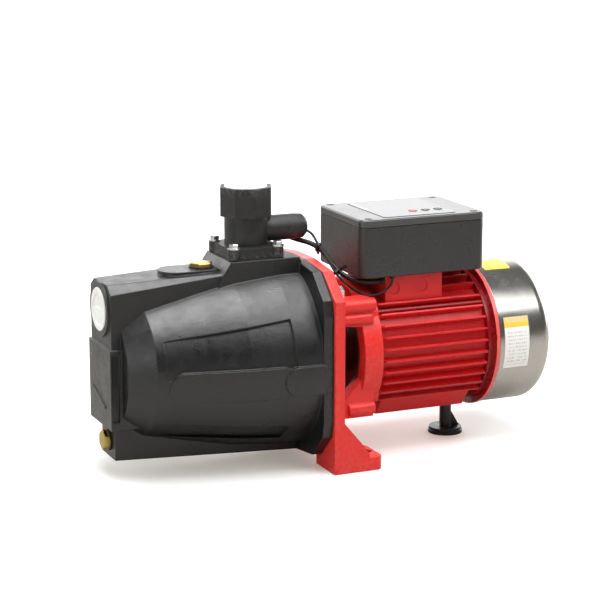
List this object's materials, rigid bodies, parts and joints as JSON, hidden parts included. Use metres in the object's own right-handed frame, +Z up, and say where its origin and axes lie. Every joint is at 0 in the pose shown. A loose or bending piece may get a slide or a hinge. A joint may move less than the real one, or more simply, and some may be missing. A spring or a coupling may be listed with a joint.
{
  "type": "shallow well jet pump",
  "caption": "Self-priming shallow well jet pump with a cast casing, a finned motor, a flow switch and a control box.",
  "frame": {"origin": "centre of the two foot-bolt holes, on the surface the pump stands on", "axes": "+X along the shaft from the suction end to the motor, +Z up, the lead side is -Y"},
  "size_m": [0.4395, 0.1816, 0.262],
  "materials": {
    "cast_black": "black enamel over a sand casting, satin",
    "bracket_red": "bright coral-red enamel over cast iron, semi-gloss",
    "housing_red": "deep red enamel over extruded and cast aluminium, semi-gloss",
    "gloss_black": "gloss black enamel on pressed steel",
    "switch_black": "black glass-filled nylon, slightly rough",
    "box_grey": "charcoal ABS, fine texture",
    "lid_grey": "charcoal ABS, semi-gloss",
    "panel_grey": "light grey overlay film",
    "key_red": "red key",
    "key_dark": "dark key",
    "cap_white": "white polyethylene",
    "brass": "turned brass",
    "zinc": "bright zinc-plated steel",
    "steel": "ground steel",
    "chrome_steel": "polished bearing steel",
    "rubber_black": "black rubber",
    "lead_black": "black PVC sheath",
    "noryl_black": "moulded hydraulic plastic",
    "ceramic": "white ceramic",
    "carbon": "carbon graphite",
    "lamination": "laminated electrical steel",
    "winding": "varnished copper wire",
    "board_green": "green circuit board",
    "capacitor_white": "white capacitor case",
    "label_white": "printed label, blank",
    "label_yellow": "yellow label, blank",
    "foot_black": "black moulded plastic",
    "screw_black": "black-oxide screws",
    "tie_black": "black nylon cable ties",
    "bracket_steel": "deep red enamel"
  },
  "bodies": {
    "pump": {"pump_body": "cast_black", "body_gasket": "rubber_black", "body_bolts": "zinc", "plug_washers": "rubber_black", "jet_nozzle": "brass", "venturi_tube": "noryl_black", "diffuser": "noryl_black", "seal_seat": "ceramic", "motor_bracket": "bracket_red", "bearing_outer_rings": "chrome_steel", "stator_core": "lamination", "stator_winding": "winding", "motor_housing": "housing_red", "rear_shield": "bracket_steel", "tie_bolts": "bracket_steel", "fan_cover": "gloss_black", "cover_screws": "zinc", "support_foot": "foot_black", "foot_screw": "steel", "switch_gasket": "rubber_black", "flow_switch_body": "switch_black", "switch_bolts": "zinc", "flow_spider": "noryl_black", "reed_switch": "board_green", "sensor_cap": "switch_black", "control_box_base": "box_grey", "box_screws": "zinc", "lid_gasket": "rubber_black", "control_box_lid": "lid_grey", "lid_screws": "screw_black", "lid_panel": "panel_grey", "key_board": "board_green", "control_board": "board_green", "run_capacitor": "capacitor_white", "cable_gland": "switch_black", "lead_grommets": "rubber_black", "power_lead": "lead_black", "signal_lead": "lead_black", "cable_ties": "tie_black", "side_label": "label_white", "top_label": "label_yellow"},
    "rotor": {"motor_shaft": "steel", "rotor_core": "lamination", "impeller": "brass", "impeller_nut": "brass", "seal_head": "carbon", "seal_spring": "steel", "slinger": "rubber_black", "cooling_fan": "noryl_black", "bearing_inner_rings": "chrome_steel"},
    "ball_sets": {"bearing_balls": "chrome_steel"},
    "poppet": {"flow_poppet": "noryl_black", "flow_spring": "steel"},
    "suction_cap": {"suction_cap": "cap_white"},
    "discharge_cap": {"discharge_cap": "cap_white"},
    "filler_plug": {"filler_plug": "brass"},
    "drain_plug": {"drain_plug": "brass"},
    "power_button": {"power_button": "key_red"},
    "mode_button": {"mode_button": "key_dark"},
    "reset_button": {"reset_button": "key_dark"}
  },
  "joints": [
    {"name": "shaft_spin", "type": "hinge", "parent": "pump", "child": "rotor", "pos_m": [0, 0, 0.1], "axis": [1, 0, 0], "continuous": true},
    {"name": "ball_orbit", "type": "hinge", "parent": "pump", "child": "ball_sets", "pos_m": [0, 0, 0.1], "axis": [1, 0, 0], "continuous": true},
    {"name": "suction_cap_pull", "type": "slide", "parent": "pump", "child": "suction_cap", "axis": [-1, 0, 0], "range_m": [0, 0.1]},
    {"name": "discharge_cap_pull", "type": "slide", "parent": "pump", "child": "discharge_cap", "axis": [0, 0, 1], "range_m": [0, 0.1]},
    {"name": "filler_plug_lift", "type": "slide", "parent": "pump", "child": "filler_plug", "axis": [0, 0, 1], "range_m": [0, 0.03]},
    {"name": "drain_plug_draw", "type": "slide", "parent": "pump", "child": "drain_plug", "axis": [-1, 0, 0], "range_m": [0, 0.03]},
    {"name": "poppet_lift", "type": "slide", "parent": "pump", "child": "poppet", "axis": [0, 0, 1], "range_m": [0, 0.007], "stiffness_N_per_m": 120, "springref_m": -0.003, "deforming": ["flow_spring"]},
    {"name": "power_button_press", "type": "slide", "parent": "pump", "child": "power_button", "axis": [0, 0, -1], "range_m": [0, 0.0008], "stiffness_N_per_m": 800, "springref_m": -0.0005},
    {"name": "mode_button_press", "type": "slide", "parent": "pump", "child": "mode_button", "axis": [0, 0, -1], "range_m": [0, 0.0008], "stiffness_N_per_m": 800, "springref_m": -0.0005},
    {"name": "reset_button_press", "type": "slide", "parent": "pump", "child": "reset_button", "axis": [0, 0, -1], "range_m": [0, 0.0008], "stiffness_N_per_m": 800, "springref_m": -0.0005}
  ],
  "couplings": [
    {"joint": "ball_orbit", "follows": "shaft_spin", "ratio": 0.381}
  ]
}
